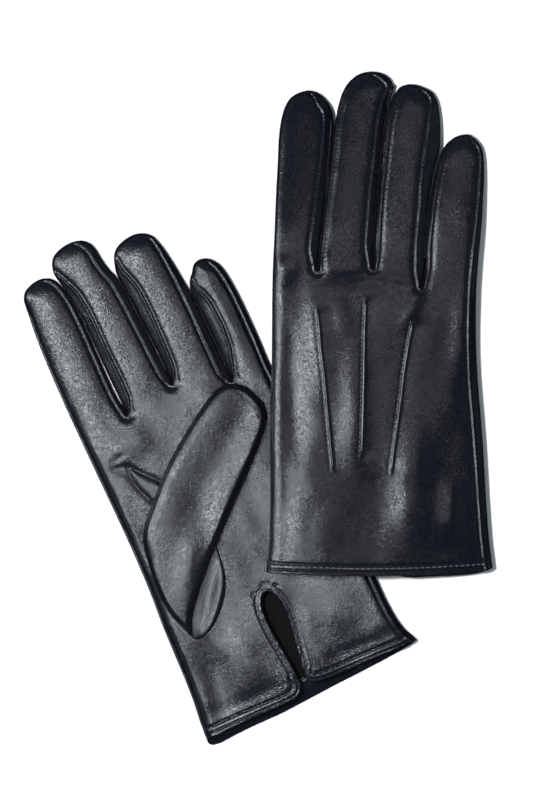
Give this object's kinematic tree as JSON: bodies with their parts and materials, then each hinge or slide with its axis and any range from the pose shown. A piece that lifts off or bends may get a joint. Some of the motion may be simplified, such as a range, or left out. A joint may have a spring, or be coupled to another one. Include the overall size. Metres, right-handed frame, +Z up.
{
  "type": "leather gloves",
  "caption": "Pair of slim lined leather dress gloves laid flat: short-cuffed, raised back points, palm-side wrist vent, one palm up and one palm down.",
  "frame": {"origin": "middle of the pair's footprint, on the table", "axes": "+X towards the right-hand glove, +Y from the cuffs to the fingertips, +Z up from the table"},
  "size_m": [0.2297, 0.3265, 0.0363],
  "materials": {
    "leather": "smooth fine-grain nappa, soft satin",
    "lining": "fine brushed knit",
    "thread": "waxed thread"
  },
  "bodies": {
    "left_glove": {"left_hand_leather": "leather", "left_thumb_quirk": "leather", "left_hand_lining": "lining", "left_cuff_hem": "leather", "left_vent_binding": "leather", "left_back_points": "leather", "left_hem_stitches": "thread"},
    "left_thumb": {"left_thumb_leather": "leather", "left_thumb_lining": "lining"},
    "left_index_finger": {"left_index_leather": "leather", "left_index_fourchette": "leather", "left_index_lining": "lining"},
    "left_middle_finger": {"left_middle_leather": "leather", "left_middle_fourchette_a": "leather", "left_middle_fourchette_b": "leather", "left_middle_lining": "lining"},
    "left_ring_finger": {"left_ring_leather": "leather", "left_ring_fourchette_a": "leather", "left_ring_fourchette_b": "leather", "left_ring_lining": "lining"},
    "left_little_finger": {"left_little_leather": "leather", "left_little_fourchette": "leather", "left_little_lining": "lining"},
    "right_glove": {"right_hand_leather": "leather", "right_thumb_quirk": "leather", "right_hand_lining": "lining", "right_cuff_hem": "leather", "right_vent_binding": "leather", "right_back_points": "leather", "right_hem_stitches": "thread"},
    "right_thumb": {"right_thumb_leather": "leather", "right_thumb_lining": "lining"},
    "right_index_finger": {"right_index_leather": "leather", "right_index_fourchette": "leather", "right_index_lining": "lining"},
    "right_middle_finger": {"right_middle_leather": "leather", "right_middle_fourchette_a": "leather", "right_middle_fourchette_b": "leather", "right_middle_lining": "lining"},
    "right_ring_finger": {"right_ring_leather": "leather", "right_ring_fourchette_a": "leather", "right_ring_fourchette_b": "leather", "right_ring_lining": "lining"},
    "right_little_finger": {"right_little_leather": "leather", "right_little_fourchette": "leather", "right_little_lining": "lining"}
  },
  "joints": [
    {"name": "left_thumb_open", "type": "hinge", "parent": "left_glove", "child": "left_thumb", "pos_m": [-0.04791, -0.09709, 0.0154], "axis": [0.4067, -0.9135, 0], "range_deg": [0, 120]},
    {"name": "left_index_flex", "type": "hinge", "parent": "left_glove", "child": "left_index_finger", "pos_m": [-0.07695, -0.00603, 0.0053], "axis": [0.8994, 0.4372, 0], "range_deg": [0, 75]},
    {"name": "left_middle_flex", "type": "hinge", "parent": "left_glove", "child": "left_middle_finger", "pos_m": [-0.05552, 0.00679, 0.0053], "axis": [0.8952, 0.4456, 0], "range_deg": [0, 75]},
    {"name": "left_ring_flex", "type": "hinge", "parent": "left_glove", "child": "left_ring_finger", "pos_m": [-0.0315, 0.0153, 0.0053], "axis": [0.908, 0.4189, 0], "range_deg": [0, 75]},
    {"name": "left_little_flex", "type": "hinge", "parent": "left_glove", "child": "left_little_finger", "pos_m": [-0.00663, 0.0209, 0.0053], "axis": [0.9195, 0.393, 0], "range_deg": [0, 75]},
    {"name": "right_glove_lift", "type": "slide", "parent": "left_glove", "child": "right_glove", "axis": [0, 0, 1], "range_m": [0, 0.12]},
    {"name": "right_thumb_drop", "type": "hinge", "parent": "right_glove", "child": "right_thumb", "pos_m": [0.00775, -0.01323, 0.01953], "axis": [-0.0031, 0.9998, -0.0207], "range_deg": [0, 40]},
    {"name": "right_index_lift", "type": "hinge", "parent": "right_glove", "child": "right_index_finger", "pos_m": [0.01953, 0.08196, 0.02596], "axis": [0.987, -0.0665, -0.1461], "range_deg": [0, 50]},
    {"name": "right_middle_lift", "type": "hinge", "parent": "right_glove", "child": "right_middle_finger", "pos_m": [0.04405, 0.08496, 0.02224], "axis": [0.9836, -0.1077, -0.1447], "range_deg": [0, 50]},
    {"name": "right_ring_lift", "type": "hinge", "parent": "right_glove", "child": "right_ring_finger", "pos_m": [0.06917, 0.08296, 0.01852], "axis": [0.985, -0.0927, -0.1453], "range_deg": [0, 50]},
    {"name": "right_little_lift", "type": "hinge", "parent": "right_glove", "child": "right_little_finger", "pos_m": [0.09372, 0.07797, 0.01496], "axis": [0.9822, -0.1206, -0.1442], "range_deg": [0, 50]}
  ],
  "couplings": [
    {"joint": "right_thumb_drop", "follows": "right_glove_lift", "rad_per_m": 5.8178}
  ]
}
